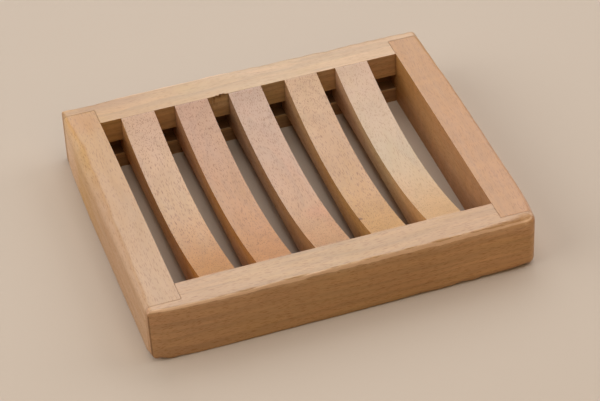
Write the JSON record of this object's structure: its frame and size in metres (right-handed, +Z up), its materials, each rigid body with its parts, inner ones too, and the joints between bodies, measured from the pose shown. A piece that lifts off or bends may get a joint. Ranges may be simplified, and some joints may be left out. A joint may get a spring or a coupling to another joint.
{
  "type": "soap dish",
  "caption": "Low slatted wooden soap dish: a rectangular frame of rails with rebated corners, and dished cross slats with drain gaps between them.",
  "frame": {"origin": "middle of the underside, on the surface that the dish stands on", "axes": "+X along the long front and back rails, +Y from the front rail to the back rail, +Z up out of the dished side"},
  "size_m": [0.1274, 0.1084, 0.02],
  "materials": {
    "front_rail": "oiled beech, satin",
    "back_rail": "oiled beech, satin",
    "left_rail": "oiled beech, satin",
    "right_rail": "oiled beech, satin",
    "slat_1": "oiled beech, satin",
    "slat_2": "oiled beech, satin",
    "slat_3": "oiled beech, satin",
    "slat_4": "oiled beech, satin",
    "slat_5": "oiled beech, satin"
  },
  "bodies": {
    "root": {"front_rail": "front_rail", "back_rail": "back_rail", "left_rail": "left_rail", "right_rail": "right_rail", "slat_1": "slat_1", "slat_2": "slat_2", "slat_3": "slat_3", "slat_4": "slat_4", "slat_5": "slat_5"}
  },
  "joints": []
}
